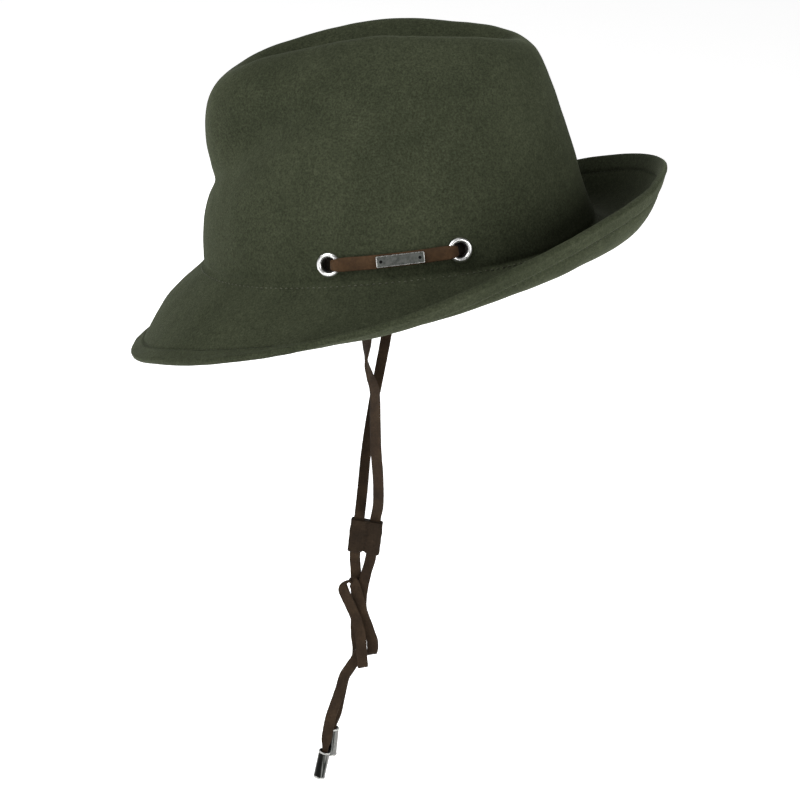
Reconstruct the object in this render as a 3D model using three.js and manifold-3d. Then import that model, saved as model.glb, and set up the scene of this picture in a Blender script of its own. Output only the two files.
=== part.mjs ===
import * as THREE from 'three';
import Module from 'manifold-3d';

// Felt bush hat with a creased crown, a snap brim, a side lace on two eyelets and a chin lace.
// Millimetres. The hat faces -Y, the wearer's left is +X and up is +Z. The origin is the middle
// of the head opening, where the hat sits on a head. The chin lace hangs straight down.

// How far the hat tips forward on the head
const FORWARD_TILT = THREE.MathUtils.degToRad(12.9);

// Felt
const FELT_WALL = 2.5;
const WELT_WIDTH = 8;
const WELT_EXTRA = 0.6;
const WELT_NOSE = 1.3;
const FELT_COLUMNS = 54;

// Sections of the outer side of the felt, from the rim of the brim to the middle of the crease.
// half is the half width, front and back are the reach each way. z holds the heights at the
// front, halfway to the side, at the side, halfway to the back and at the back.
const SECTIONS = [
  { name: 'rim', half: 128, front: 147, back: 138.5, z: [-43, -31.2, -11.5, 16, 27] },
  { name: 'curl', half: 121, front: 140, back: 132, z: [-38, -27.3, -15.2, 1, 12] },
  { name: 'apron', half: 106, front: 125.5, back: 119.5, z: [-18.5, -16.2, -10.5, -3.3, 0] },
  { name: 'foot', half: 88, front: 105, back: 103.8, z: [-2.5, -2.5, -0.5, -0.8, 3] },
  { name: 'wall_low', half: 85.7, front: 103.2, back: 101.5, z: [3.5, 3.3, 4.5, 4.4, 7.6] },
  { name: 'wall_band', half: 83.2, front: 100.3, back: 97, z: [23, 22.2, 22, 22.8, 25] },
  { name: 'wall_mid', half: 79, front: 94.3, back: 93.9, z: [42, 42.4, 43, 43.1, 43] },
  { name: 'wall_high', half: 72, front: 94.7, back: 89.3, z: [62, 63.4, 65, 64.1, 63] },
  { name: 'wall_top', half: 59, front: 91.5, back: 84.2, z: [82, 85.5, 89, 85.5, 82] },
  { name: 'shoulder', half: 43, front: 83, back: 79, z: [93.6, 99.6, 104.8, 99.3, 94] },
  { name: 'ridge', half: 30, front: 70.6, back: 69.5, z: [98, 105.3, 111.3, 105.2, 99.5] },
  { name: 'slope', half: 19, front: 56, back: 54, z: [94, 99, 104, 99, 94.5] },
  { name: 'floor', half: 9, front: 30, back: 30, z: [89, 90.5, 92, 90, 88] },
  { name: 'centre', half: 0, front: 0, back: 0, z: [87, 87, 87, 87, 87] },
];
const FOOT = 3;

// Distances from the rim of the rows that shape the welt, then the rows above it by section
const WELT_ROWS = [0, WELT_WIDTH - 1, WELT_WIDTH + 0.3];
const SHELL_ROWS = [
  1.2, 1.6, 2, 2.4, 2.7, 2.9, 3.05, 3.2, 3.4, 3.75, 4.2, 4.8, 5.4, 6, 6.5, 7, 7.4, 7.8, 8.2, 8.6,
  9, 9.35, 9.7, 10, 10.35, 10.7, 11.1, 11.6, 12.3,
];

// Pinch on each front side of the crown: place round the crown, height, spread and depth
const PINCH = { turn: 44, turnSpread: 24, z: 80, slant: 8, zSpread: 17, depth: 7.5 };

// Band inside the crown foot
const BAND_GAP = 2;
const BAND_WALL = 1.3;
const BAND_LOW = 5;
const BAND_HIGH = 33;

// Eyelets on the wearer's left, by the angle from the front and the height
const EYELET_FRONT = { turn: 76, z: 9.5 };
const EYELET_REAR = { turn: 113.5, z: 10.8 };
const EYELET_HOLE_R = 4.6;
const EYELET_PROFILE = [
  [3.7, -3.7], [5.5, -3.7], [5.5, -3.05], [4.3, -3.05], [4.3, 0.3],
  [6.1, 0.3], [6.2, 0.8], [5.7, 1.3], [4.9, 1.5], [4.1, 1.4], [3.7, 0.9],
];

// Lace leather, and the front half of the side lace; the rear half mirrors it. along is the
// distance from the eyelet towards the middle, above is the height over the felt.
const LACE_WALL = 1.3;
const SIDE_LACE = [
  { along: 0.9, above: -3.9, wide: 4.4 },
  { along: 1.2, above: -1.6, wide: 4.4 },
  { along: 1.7, above: 1.0, wide: 4.4 },
  { along: 3.6, above: 3.0, wide: 6.0 },
  { along: 6.8, above: 2.9, wide: 6.8 },
  { along: 11, above: 1.7, wide: 6.8 },
  { along: 22, above: 1.9, wide: 6.8 },
];

// Plate on the side lace
const PLATE = { along: 35.2, above: 2.6, length: 23.8, height: 5.6, wall: 1.0 };
const PLATE_BORDER = 0.5;
const PLATE_SUNK = 0.3;
const PLATE_PIN = { inset: 2.3, r: 0.6, sunk: 0.4 };

// Chin lace. lay is the turn of its width from +Y towards +X and tilt its rise, in degrees.
const CHIN_WIDE = 5.8;
const CHIN_LEFT = [
  { x: 82.2, y: -7.1, z: 2, lay: 0 },
  { x: 81.9, y: -6.6, z: -0.6, lay: 0 },
  { x: 80.8, y: -6.2, z: -5, lay: 0 },
  { x: 77.2, y: -6, z: -12, lay: 4 },
  { x: 70, y: -5.6, z: -24, lay: 12 },
  { x: 61.5, y: -5.4, z: -38, lay: 34 },
  { x: 54.6, y: -5.2, z: -51, lay: 86 },
  { x: 50, y: -2.8, z: -60, lay: 108 },
  { x: 45.2, y: 0.2, z: -69.5, lay: 130 },
  { x: 35.6, y: 1.5, z: -88, lay: 152 },
  { x: 25.8, y: 2.8, z: -107, lay: 172 },
  { x: 15.6, y: 5, z: -127, lay: 180 },
  { x: 6.6, y: 6, z: -144.5, lay: 180 },
  { x: 1.2, y: 5.2, z: -154, lay: 180 },
  { x: 0.1, y: 5, z: -157.5, lay: 180 },
  { x: 0, y: 5, z: -162, lay: 180 },
  { x: 0, y: 5, z: -178, lay: 180 },
  { x: 0.4, y: 3.6, z: -188, lay: 180 },
  { x: 0.5, y: 2.8, z: -197, lay: 180 },
  { x: 0.4, y: 2.9, z: -206, lay: 180 },
  { x: 0.2, y: 4.6, z: -213, lay: 180 },
  { x: -0.6, y: 7.6, z: -219.5, lay: 180 },
  { x: -3, y: 10, z: -225.3, lay: 180 },
  { x: -4.8, y: 11.4, z: -229.6, lay: 180 },
  { x: -3.8, y: 12, z: -233.8, lay: 180, tilt: -12 },
  { x: -1.6, y: 12, z: -235.4, lay: 180, tilt: -22 },
  { x: 0.6, y: 12, z: -234.2, lay: 180, tilt: -12 },
  { x: 1.6, y: 11.9, z: -230.4, lay: 180 },
  { x: 1.9, y: 10.8, z: -224.8, lay: 180 },
  { x: 2.2, y: 8.5, z: -219, lay: 180 },
  { x: 2.4, y: 5, z: -211.8, lay: 180 },
  { x: 2.6, y: 2, z: -204.6, lay: 180 },
  { x: 2.7, y: -0.3, z: -198.4, lay: 178 },
  { x: 3.2, y: -2.2, z: -194, lay: 162 },
  { x: 4.1, y: -4.6, z: -192.8, lay: 130, tilt: 6 },
  { x: 4.9, y: -6.9, z: -194, lay: 115, tilt: 6 },
  { x: 5.5, y: -7.4, z: -197, lay: 150 },
  { x: 5.6, y: -5.6, z: -200.9, lay: 178 },
  { x: 5.6, y: -2.1, z: -206.8, lay: 180 },
  { x: 5.6, y: 2, z: -214.4, lay: 180 },
  { x: 5.6, y: 4.9, z: -222.6, lay: 180 },
  { x: 5.6, y: 6.5, z: -230.5, lay: 180 },
  { x: 5.6, y: 7.7, z: -237.6, lay: 180, tilt: -8 },
  { x: 5.4, y: 8.2, z: -240.7, lay: 180, tilt: -20 },
  { x: 4.6, y: 8.3, z: -241.5, lay: 180, tilt: -20 },
  { x: 3.8, y: 8.1, z: -240.7, lay: 180, tilt: -20 },
  { x: 3.6, y: 7.4, z: -237.6, lay: 180, tilt: -8 },
  { x: 3.5, y: 6.4, z: -234.2, lay: 180 },
  { x: 2.75, y: 6, z: -233.3, lay: 180 },
  { x: 2, y: 5.6, z: -234.2, lay: 180 },
  { x: 1.9, y: 4, z: -238.6, lay: 180 },
  { x: 1.9, y: 1.2, z: -244.1, lay: 180 },
  { x: 1.8, y: -1.5, z: -250.4, lay: 180 },
  { x: 1.9, y: -2.9, z: -259, lay: 180 },
  { x: 2, y: -4.6, z: -267.5, lay: 180 },
  { x: 2, y: -6.4, z: -277, lay: 180 },
  { x: 2, y: -7.1, z: -289, lay: 180 },
];
const CHIN_RIGHT = [
  { x: -82.2, y: -7.1, z: 2, lay: 0 },
  { x: -81.9, y: -6.6, z: -0.6, lay: 0 },
  { x: -80.8, y: -6.2, z: -5, lay: 0 },
  { x: -77.2, y: -6, z: -12, lay: 0 },
  { x: -70, y: -5.8, z: -24, lay: 0 },
  { x: -59, y: -5.4, z: -43, lay: 5 },
  { x: -47, y: -5.1, z: -66, lay: 10 },
  { x: -36.7, y: -5.7, z: -86, lay: 20 },
  { x: -27, y: -6.3, z: -105, lay: 30 },
  { x: -17.6, y: -6, z: -123.5, lay: 25 },
  { x: -7.6, y: -4.6, z: -142.5, lay: 10 },
  { x: -1.2, y: -3.9, z: -154, lay: 0 },
  { x: -0.1, y: -3.8, z: -157.5, lay: 0 },
  { x: 0, y: -3.8, z: -162, lay: 0 },
  { x: 0, y: -3.8, z: -178, lay: 0 },
  { x: -0.9, y: -2.4, z: -188, lay: 0 },
  { x: -1.5, y: -1, z: -200, lay: 0 },
  { x: -1.6, y: 0.4, z: -213, lay: 0 },
  { x: -1.6, y: 1.8, z: -225, lay: 0 },
  { x: -1.6, y: 3.7, z: -234, lay: 0 },
  { x: -1.6, y: 3.6, z: -239.8, lay: 0 },
  { x: -1.7, y: 1.2, z: -245.6, lay: 0 },
  { x: -2, y: -1.5, z: -251.8, lay: 0 },
  { x: -2.4, y: -2.4, z: -258.5, lay: 0 },
  { x: -2.9, y: -3, z: -266, lay: 0 },
  { x: -3.9, y: -4, z: -276, lay: 0 },
];

// Metal tips: where each one is held by the lace, and which way it points
const TIP = { length: 16.8, r: 3.2, rimR: 3.35, rimHigh: 1.1, boreR: 2.4, boreDeep: 7 };
const TIP_LEFT = { x: 2, y: -7.3, z: -297, leanY: -0.09 };
const TIP_RIGHT = { x: -4.3, y: -4.7, z: -285, leanY: 0.02 };
const TIP_TUCK = 5.5;
const TUCKED = { wide: 3.4, thick: 1.9 };

// Hidden stretch of the chin lace behind the band, on the left half; the right half mirrors it.
// turn is the angle from the front in degrees, lift is the height above the crown foot.
const CHIN_HIDDEN = [
  { turn: 86.2, lift: 5.4 },
  { turn: 86.2, lift: 9 },
  { turn: 87.2, lift: 13.5 },
  { turn: 90, lift: 18 },
  { turn: 95, lift: 20.5 },
  { turn: 102, lift: 21 },
  { turn: 118, lift: 21 },
  { turn: 134, lift: 20 },
  { turn: 150, lift: 19 },
  { turn: 165, lift: 19 },
  { turn: 180, lift: 19 },
];

// Slider on both strands of the chin lace
const SLIDER = { y: 0.6, z: -166.9, wide: 17.4, thick: 4.9, high: 19, corner: 1.2 };
const SLOT = { offset: 4.4, wide: 6.4, thick: 1.95 };

const wasm = await Module();
wasm.setup();
const { Manifold, Mesh } = wasm;

// Smooth curve between b and c, which a and d lie beyond. t runs from 0 to 1.
function blend(a, b, c, d, t) {
  const slope = c - a;
  const bend = 2 * a - 5 * b + 4 * c - d;
  const twist = 3 * b - a - 3 * c + d;
  return b + 0.5 * (slope * t + bend * t * t + twist * t * t * t);
}

// Smooth curve through one column of a table, or through one entry of a column that holds a
// list. at runs from 0 to the number of rows less one.
function column(table, key, at, entry) {
  const last = table.length - 1;
  const i = Math.min(Math.floor(at), last - 1);
  const value = (row) => (entry === undefined ? table[row][key] : table[row][key][entry]);
  const b = value(i);
  const c = value(i + 1);
  const a = i > 0 ? value(i - 1) : 2 * b - c;
  const d = i + 2 <= last ? value(i + 2) : 2 * c - b;
  return blend(a, b, c, d, at - i);
}

// Height of a section, the same on both sides. fromFront runs from 0 at the front to pi.
function sectionHeight(at, fromFront) {
  const last = SECTIONS[0].z.length - 1;
  const place = (last * fromFront) / Math.PI;
  const i = Math.min(Math.floor(place), last - 1);
  const around = [Math.abs(i - 1), i, i + 1, i + 2 > last ? last - 1 : i + 2];
  return blend(...around.map((entry) => column(SECTIONS, 'z', at, entry)), place - i);
}

// Point on the outer side of the felt. turn is measured from the front towards the left.
function feltPoint(at, turn) {
  const c = Math.cos(turn);
  const s = Math.sin(turn);
  const fromFront = Math.abs(Math.atan2(s, c));
  const z = sectionHeight(at, fromFront);
  const reach = c > 0 ? column(SECTIONS, 'front', at) : column(SECTIONS, 'back', at);
  const point = new THREE.Vector3(column(SECTIONS, 'half', at) * s, -reach * c, z);
  const pastPinch = THREE.MathUtils.radToDeg(fromFront) - PINCH.turn;
  const aside = pastPinch / PINCH.turnSpread;
  const level = PINCH.z + PINCH.slant * THREE.MathUtils.degToRad(pastPinch);
  const above = (z - level) / PINCH.zSpread;
  const depth = PINCH.depth * Math.exp(-aside * aside - above * above);
  const flat = Math.hypot(point.x, point.y);
  if (flat > 1) {
    point.x -= (depth * point.x) / flat;
    point.y -= (depth * point.y) / flat;
  }
  return point;
}

// Axes on the felt: out of the outer side, up the crown and round it towards the back
function feltFrame(at, turn) {
  const step = 0.01;
  const low = Math.max(at - step, 0);
  const high = Math.min(at + step, SECTIONS.length - 1);
  const up = feltPoint(high, turn).sub(feltPoint(low, turn)).normalize();
  const round = feltPoint(at, turn + step).sub(feltPoint(at, turn - step)).normalize();
  const out = round.clone().cross(up).normalize();
  return { point: feltPoint(at, turn), out, up, round };
}

// Place on the crown wall at a height, found by halving the span of sections
function onWall(turn, z) {
  let low = FOOT;
  let high = FOOT + 4;
  for (let i = 0; i < 30; i += 1) {
    const mid = 0.5 * (low + high);
    if (feltPoint(mid, turn).z < z) low = mid;
    else high = mid;
  }
  return feltFrame(low, turn);
}

function footHeight(turn) {
  return feltPoint(FOOT, turn).z;
}

// Section number that lies a given distance in from the rim
function fromRim(turn, distance) {
  let at = 0;
  let gone = 0;
  let here = feltPoint(0, turn);
  while (gone < distance) {
    at += 0.02;
    const next = feltPoint(at, turn);
    gone += next.distanceTo(here);
    here = next;
  }
  return at;
}

// Closed solid from rings of points. With ends it is capped, without ends it joins up.
function skin(rings, ends) {
  const across = rings[0].length;
  const points = rings.flat();
  const index = [];
  const rows = ends ? rings.length - 1 : rings.length;
  for (let i = 0; i < rows; i += 1) {
    const here = i * across;
    const next = ((i + 1) % rings.length) * across;
    for (let j = 0; j < across; j += 1) {
      const k = (j + 1) % across;
      index.push(here + j, next + j, here + k, here + k, next + j, next + k);
    }
  }
  if (ends) {
    const start = points.length;
    const lastRing = (rings.length - 1) * across;
    points.push(ends[0], ends[1]);
    for (let j = 0; j < across; j += 1) {
      const k = (j + 1) % across;
      index.push(start, j, k, start + 1, lastRing + k, lastRing + j);
    }
  }
  return outward(points, index);
}

// Geometry whose faces point outwards, whichever way its rings were given
function outward(points, index) {
  let volume = 0;
  for (let i = 0; i < index.length; i += 3) {
    const [a, b, c] = [points[index[i]], points[index[i + 1]], points[index[i + 2]]];
    volume += a.dot(b.clone().cross(c));
  }
  if (volume < 0) index.reverse();
  const geometry = new THREE.BufferGeometry();
  const flat = points.flatMap((p) => [p.x, p.y, p.z]);
  geometry.setAttribute('position', new THREE.Float32BufferAttribute(flat, 3));
  geometry.setIndex(index);
  return geometry;
}

function centreOf(points) {
  return points.reduce((sum, p) => sum.add(p), new THREE.Vector3()).divideScalar(points.length);
}

function toSolid(geometry) {
  const positions = geometry.getAttribute('position').array;
  const mesh = new Mesh({
    numProp: 3,
    vertProperties: new Float32Array(positions),
    triVerts: new Uint32Array(geometry.getIndex().array),
  });
  mesh.merge();
  return new Manifold(mesh);
}

function fromSolid(solid) {
  const mesh = solid.getMesh();
  const geometry = new THREE.BufferGeometry();
  geometry.setAttribute('position', new THREE.BufferAttribute(mesh.vertProperties, 3));
  geometry.setIndex(new THREE.BufferAttribute(mesh.triVerts, 1));
  return geometry;
}

// Matrix that carries a shape made round its own Y axis onto the crown wall
function wallMatrix(place) {
  const side = place.out.clone().cross(place.up).normalize();
  const up = side.clone().cross(place.out);
  return new THREE.Matrix4().makeBasis(side, place.out, up).setPosition(place.point);
}

function eyeletPlace({ turn, z }) {
  return onWall(THREE.MathUtils.degToRad(turn), z);
}

// One row of the shell: points on the outer side pushed out or in along the felt's own normal
function shellRow(rowAt, push) {
  const row = [];
  for (let j = 0; j < FELT_COLUMNS; j += 1) {
    const turn = (2 * Math.PI * j) / FELT_COLUMNS;
    const { point, out } = feltFrame(rowAt(turn), turn);
    row.push(point.addScaledVector(out, push));
  }
  return row;
}

function rimNose() {
  const nose = [];
  for (let j = 0; j < FELT_COLUMNS; j += 1) {
    const turn = (2 * Math.PI * j) / FELT_COLUMNS;
    const { point, out, up } = feltFrame(0, turn);
    nose.push(point.addScaledVector(out, -0.5 * FELT_WALL).addScaledVector(up, -WELT_NOSE));
  }
  return nose;
}

function feltShell() {
  const weltAt = WELT_ROWS.map((distance) => (turn) => fromRim(turn, distance));
  const shellAt = SHELL_ROWS.map((at) => () => at);
  const swell = [WELT_EXTRA, WELT_EXTRA, 0];
  const outer = weltAt.map((rowAt, i) => shellRow(rowAt, swell[i]));
  const inner = weltAt.map((rowAt, i) => shellRow(rowAt, -FELT_WALL - swell[i]));
  shellAt.forEach((rowAt) => {
    outer.push(shellRow(rowAt, 0));
    inner.push(shellRow(rowAt, -FELT_WALL));
  });
  const top = feltPoint(SECTIONS.length - 1, 0);
  const under = top.clone();
  under.z -= FELT_WALL;
  return skin([...outer.reverse(), rimNose(), ...inner], [top, under]);
}

function feltBody() {
  let solid = toSolid(feltShell());
  [EYELET_FRONT, EYELET_REAR].forEach((eyelet) => {
    const drill = new THREE.CylinderGeometry(EYELET_HOLE_R, EYELET_HOLE_R, 14, 24);
    drill.applyMatrix4(wallMatrix(eyeletPlace(eyelet)));
    solid = solid.subtract(toSolid(drill));
  });
  return fromSolid(solid);
}

function sweatband() {
  const lifts = [BAND_LOW, 0.5 * (BAND_LOW + BAND_HIGH), BAND_HIGH];
  const side = (inset) => lifts.map((lift) => {
    const row = [];
    for (let j = 0; j < FELT_COLUMNS; j += 1) {
      const turn = (2 * Math.PI * j) / FELT_COLUMNS;
      const { point, out } = onWall(turn, footHeight(turn) + lift);
      row.push(point.addScaledVector(out, -inset));
    }
    return row;
  });
  const outside = side(FELT_WALL + BAND_GAP);
  const inside = side(FELT_WALL + BAND_GAP + BAND_WALL);
  return skin([...outside, ...inside.reverse()], null);
}

function eyelet(place) {
  const profile = [...EYELET_PROFILE, EYELET_PROFILE[0]].map(([r, h]) => new THREE.Vector2(r, h));
  const ring = new THREE.LatheGeometry(profile, 20);
  ring.applyMatrix4(wallMatrix(eyeletPlace(place)));
  return ring;
}

// Four corners of a flat lace at one step: centre, direction of its width and of its thickness
function laceRing(centre, across, out, wide, thick) {
  const corners = [[-1, -1], [1, -1], [1, 1], [-1, 1]];
  return corners.map(([a, b]) => centre.clone()
    .addScaledVector(across, 0.5 * a * wide)
    .addScaledVector(out, 0.5 * b * thick));
}

function laceSolid(rings) {
  return skin(rings, [centreOf(rings[0]), centreOf(rings[rings.length - 1])]);
}

function eyeletSpan() {
  return eyeletPlace(EYELET_FRONT).point.distanceTo(eyeletPlace(EYELET_REAR).point);
}

// Place along the line between the two eyelets, by distance from the front one
function alongSide(along, above) {
  const part = along / eyeletSpan();
  const turn = THREE.MathUtils.lerp(EYELET_FRONT.turn, EYELET_REAR.turn, part);
  const z = THREE.MathUtils.lerp(EYELET_FRONT.z, EYELET_REAR.z, part);
  const place = onWall(THREE.MathUtils.degToRad(turn), z);
  place.point.addScaledVector(place.out, above);
  return place;
}

// Direction that a lace runs in at one place of its table. where gives the point of a place.
function laceRun(where, at, last) {
  const step = 0.02;
  return where(Math.min(at + step, last)).sub(where(Math.max(at - step, 0))).normalize();
}

function sideLace() {
  const span = eyeletSpan();
  const rear = SIDE_LACE.map((row) => ({ ...row, along: span - row.along })).reverse();
  const rows = [...SIDE_LACE, { along: 0.5 * span, above: 1.3, wide: 6.8 }, ...rear];
  const place = (at) => alongSide(column(rows, 'along', at), column(rows, 'above', at));
  const rings = [];
  const steps = 3;
  const last = rows.length - 1;
  for (let i = 0; i <= last * steps; i += 1) {
    const at = i / steps;
    const { point, up } = place(at);
    const out = laceRun((k) => place(k).point, at, last).cross(up).normalize();
    rings.push(laceRing(point, up, out, column(rows, 'wide', at), LACE_WALL));
  }
  return laceSolid(rings);
}

function plate() {
  const place = alongSide(PLATE.along, PLATE.above + 0.5 * PLATE.wall);
  const block = new THREE.BoxGeometry(PLATE.length, PLATE.wall, PLATE.height);
  const field = new THREE.BoxGeometry(
    PLATE.length - 2 * PLATE_BORDER,
    PLATE.wall,
    PLATE.height - 2 * PLATE_BORDER,
  );
  field.translate(0, PLATE.wall - PLATE_SUNK, 0);
  let solid = toSolid(block).subtract(toSolid(field));
  [-1, 1].forEach((way) => {
    const pin = new THREE.CylinderGeometry(PLATE_PIN.r, PLATE_PIN.r, PLATE.wall, 16);
    const deep = PLATE.wall - PLATE_SUNK - PLATE_PIN.sunk;
    pin.translate(way * (0.5 * PLATE.length - PLATE_PIN.inset), deep, 0);
    solid = solid.subtract(toSolid(pin));
  });
  return fromSolid(solid).applyMatrix4(wallMatrix(place));
}

// One strand of the chin lace down to its tip, where it narrows to go into the metal
function chinStrand(table, tip) {
  const rows = table.map((row) => ({ tilt: 0, ...row, wide: CHIN_WIDE, thick: LACE_WALL }));
  const { lay } = rows.at(-1);
  [-1, TIP_TUCK].forEach((down) => {
    const y = tip.y + tip.leanY * down;
    rows.push({ x: tip.x, y, z: tip.z - down, lay, tilt: 0, ...TUCKED });
  });
  const last = rows.length - 1;
  const where = (at) => new THREE.Vector3(...['x', 'y', 'z'].map((key) => column(rows, key, at)));
  const rings = [];
  const steps = 2;
  for (let i = 0; i <= last * steps; i += 1) {
    const at = i / steps;
    const run = laceRun(where, at, last);
    const turn = THREE.MathUtils.degToRad(column(rows, 'lay', at));
    const tilt = THREE.MathUtils.degToRad(column(rows, 'tilt', at));
    const across = new THREE.Vector3(Math.sin(turn), Math.cos(turn), Math.tan(tilt));
    across.addScaledVector(run, -across.dot(run)).normalize();
    const out = run.clone().cross(across);
    const [wide, thick] = ['wide', 'thick'].map((key) => column(rows, key, at));
    rings.push(laceRing(where(at), across, out, wide, thick));
  }
  return laceSolid(rings);
}

// The stretch of chin lace that goes round the back of the head behind the band
function chinHidden() {
  const right = CHIN_HIDDEN.slice(0, -1).map((row) => ({ ...row, turn: 360 - row.turn }));
  const rows = [...CHIN_HIDDEN, ...right.reverse()];
  const place = (at) => {
    const turn = THREE.MathUtils.degToRad(column(rows, 'turn', at));
    const { point, out } = onWall(turn, footHeight(turn) + column(rows, 'lift', at));
    return { point: point.addScaledVector(out, -FELT_WALL - 0.5 * BAND_GAP), out };
  };
  const rings = [];
  const steps = 3;
  const last = rows.length - 1;
  for (let i = 0; i <= last * steps; i += 1) {
    const at = i / steps;
    const { point, out } = place(at);
    const across = out.clone().cross(laceRun((k) => place(k).point, at, last)).normalize();
    rings.push(laceRing(point, across, out, CHIN_WIDE, LACE_WALL));
  }
  return laceSolid(rings);
}

function slider() {
  const { wide, thick, corner } = SLIDER;
  const [w, t, r] = [0.5 * wide, 0.5 * thick, corner];
  const outline = new THREE.Shape();
  outline.moveTo(-t + r, -w);
  outline.lineTo(t - r, -w);
  outline.quadraticCurveTo(t, -w, t, -w + r);
  outline.lineTo(t, w - r);
  outline.quadraticCurveTo(t, w, t - r, w);
  outline.lineTo(-t + r, w);
  outline.quadraticCurveTo(-t, w, -t, w - r);
  outline.lineTo(-t, -w + r);
  outline.quadraticCurveTo(-t, -w, -t + r, -w);
  [-1, 1].forEach((way) => {
    const [a, b] = [0.5 * SLOT.thick, 0.5 * SLOT.wide];
    const y = way * SLOT.offset;
    const slot = new THREE.Path();
    slot.moveTo(-a, y - b);
    slot.lineTo(-a, y + b);
    slot.lineTo(a, y + b);
    slot.lineTo(a, y - b);
    slot.closePath();
    outline.holes.push(slot);
  });
  const body = new THREE.ExtrudeGeometry(outline, {
    depth: SLIDER.high, bevelEnabled: false, curveSegments: 4,
  });
  return body.translate(0, SLIDER.y, SLIDER.z - 0.5 * SLIDER.high);
}

function tip(place) {
  const { length, r, rimR, rimHigh, boreR, boreDeep } = TIP;
  const profile = [
    [0, -length], [rimR, -length], [rimR, -length + rimHigh], [r, -length + rimHigh],
    [r, -rimHigh], [rimR, -rimHigh], [rimR, 0], [boreR, 0], [boreR, -boreDeep], [0, -boreDeep],
  ];
  const ferrule = new THREE.LatheGeometry(profile.map(([a, h]) => new THREE.Vector2(a, h)), 18);
  ferrule.rotateX(0.5 * Math.PI);
  ferrule.rotateX(place.leanY);
  return ferrule.translate(place.x, place.y, place.z);
}

const MATERIALS = {
  felt: new THREE.MeshStandardMaterial({ color: 0x3c4232, roughness: 0.95, metalness: 0 }),
  band_leather: new THREE.MeshStandardMaterial({ color: 0x2b241d, roughness: 0.7, metalness: 0 }),
  side_leather: new THREE.MeshStandardMaterial({ color: 0x5a3721, roughness: 0.8, metalness: 0 }),
  chin_leather: new THREE.MeshStandardMaterial({ color: 0x3d2c24, roughness: 0.85, metalness: 0 }),
  bright_metal: new THREE.MeshStandardMaterial({ color: 0xd2d4d6, roughness: 0.15, metalness: 1 }),
  plate_metal: new THREE.MeshStandardMaterial({ color: 0x8a8884, roughness: 0.4, metalness: 1 }),
};

const group = new THREE.Group();

function add(name, geometry, slot, tilted) {
  if (tilted) geometry.rotateX(FORWARD_TILT);
  const mesh = new THREE.Mesh(geometry, MATERIALS[slot]);
  mesh.name = name;
  mesh.userData.slot = slot;
  group.add(mesh);
}

add('felt_body', feltBody(), 'felt', true);
add('sweatband', sweatband(), 'band_leather', true);
add('eyelet_front', eyelet(EYELET_FRONT), 'bright_metal', true);
add('eyelet_rear', eyelet(EYELET_REAR), 'bright_metal', true);
add('side_lace', sideLace(), 'side_leather', true);
add('plate', plate(), 'plate_metal', true);
add('chin_lace_back', chinHidden(), 'chin_leather', true);
add('chin_lace_left', chinStrand(CHIN_LEFT, TIP_LEFT), 'chin_leather', false);
add('chin_lace_right', chinStrand(CHIN_RIGHT, TIP_RIGHT), 'chin_leather', false);
add('slider', slider(), 'chin_leather', false);
add('tip_left', tip(TIP_LEFT), 'bright_metal', false);
add('tip_right', tip(TIP_RIGHT), 'bright_metal', false);

export default group;
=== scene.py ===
import math

import bpy
import numpy as np
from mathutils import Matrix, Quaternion, Vector, noise


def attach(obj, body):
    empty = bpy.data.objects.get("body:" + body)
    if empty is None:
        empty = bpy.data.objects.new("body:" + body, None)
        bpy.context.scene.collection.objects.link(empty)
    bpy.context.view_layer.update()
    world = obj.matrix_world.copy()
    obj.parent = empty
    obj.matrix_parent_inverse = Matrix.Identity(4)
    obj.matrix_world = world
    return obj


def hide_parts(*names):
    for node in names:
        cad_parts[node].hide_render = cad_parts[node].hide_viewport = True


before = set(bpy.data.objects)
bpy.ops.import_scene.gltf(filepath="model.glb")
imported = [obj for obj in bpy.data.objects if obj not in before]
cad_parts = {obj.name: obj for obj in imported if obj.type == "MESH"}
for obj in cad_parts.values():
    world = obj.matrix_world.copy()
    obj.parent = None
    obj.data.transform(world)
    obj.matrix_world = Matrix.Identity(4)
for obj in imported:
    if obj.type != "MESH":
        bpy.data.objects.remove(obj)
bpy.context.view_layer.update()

# Lengths are in millimetres and are scaled by MM where Blender takes metres. Sizes of lights and
# depths of bumps are in metres already, and the scale of a noise texture is per metre.
MM = 0.001

# The hat tips forward on the head; the laces hang straight down
FORWARD_TILT = math.radians(12.9)

# Camera of the photograph
CAMERA_PLACE = (1225.4, 104.1, 316.9)
CAMERA_AIM = (22.4, 12.0, -79.6)
CAMERA_ROLL = math.radians(7.04)
CAMERA_VIEW_ANGLE = math.radians(18.708)
CAMERA_SENSOR = 36

FLOOR_Z, FLOOR_REACH = -360.0, 12000.0
# The floor carries a painted glow that lights the hat from below and fills in its shadow behind it. It
# glows less in front of the hat than behind it: glow, and distance from the calm spot
FLOOR_CALM = (350, 0, FLOOR_Z)
FLOOR_GLOW_NEAR, FLOOR_GLOW_FAR = (0.5, 250), (0.88, 700)
WORLD_GLOW = 0.05
# Name, place, size in metres and power in watts of each soft light
SOFT_LIGHTS = [
    ("front_softbox", (850, -1150, 1050), (1.1, 0.9), 27),
    ("side_softbox", (1700, -300, 300), (1.1, 0.9), 2),
    ("rear_softbox", (950, 1450, 450), (1.1, 0.9), 27),
    ("top_softbox", (400, -400, 1900), (1.4, 1.4), 5),
    ("far_softbox", (-1500, -300, 500), (1.1, 0.9), 6),
]

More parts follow.
